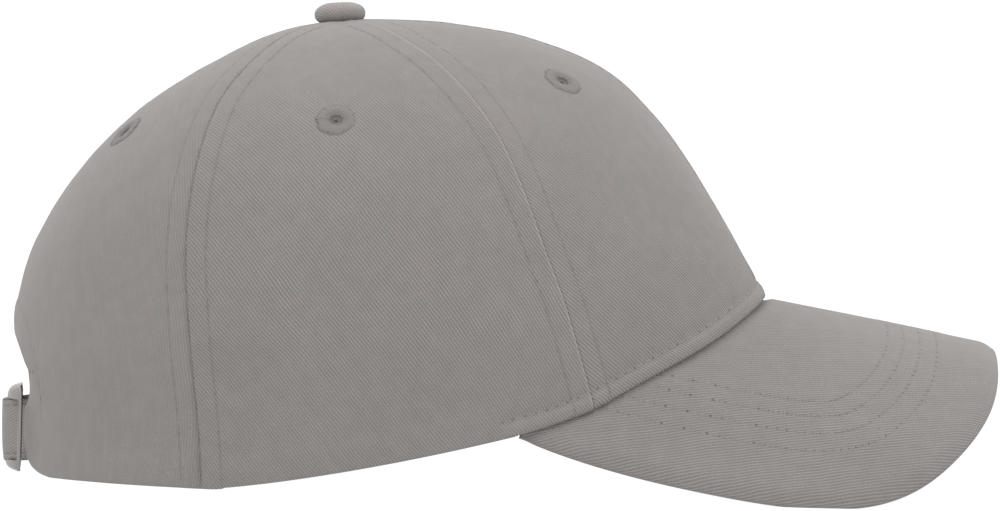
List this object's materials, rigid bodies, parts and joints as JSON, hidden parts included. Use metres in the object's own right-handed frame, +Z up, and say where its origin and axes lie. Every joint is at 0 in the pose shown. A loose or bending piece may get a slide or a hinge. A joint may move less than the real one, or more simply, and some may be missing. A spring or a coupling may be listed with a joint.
{
  "type": "six-panel cap",
  "caption": "Soft cotton cap with a panelled round crown, vent eyelets, a top button, a curved stitched peak and a rear opening closed by a strap with a slide buckle.",
  "frame": {"origin": "middle of the bounding box, on the surface that the cap stands on", "axes": "+X forward over the peak, +Y to the wearer's left, +Z up through the top button"},
  "size_m": [0.2666, 0.1654, 0.1297],
  "materials": {
    "cotton_twill": "washed warm grey cotton twill",
    "cotton_thread": "matching grey embroidery thread",
    "cotton_tape": "plain grey cotton",
    "satin_steel": "satin"
  },
  "bodies": {
    "root": {"front_panel_left": "cotton_twill", "front_panel_right": "cotton_twill", "front_eyelet_left": "cotton_thread", "front_eyelet_right": "cotton_thread", "side_panel_left": "cotton_twill", "side_panel_right": "cotton_twill", "side_eyelet_left": "cotton_thread", "side_eyelet_right": "cotton_thread", "rear_panel_left": "cotton_twill", "rear_panel_right": "cotton_twill", "rear_eyelet_left": "cotton_thread", "rear_eyelet_right": "cotton_thread", "peak": "cotton_twill", "top_button": "cotton_twill", "sweatband": "cotton_tape", "back_strap": "cotton_twill", "strap_buckle": "satin_steel"}
  },
  "joints": []
}
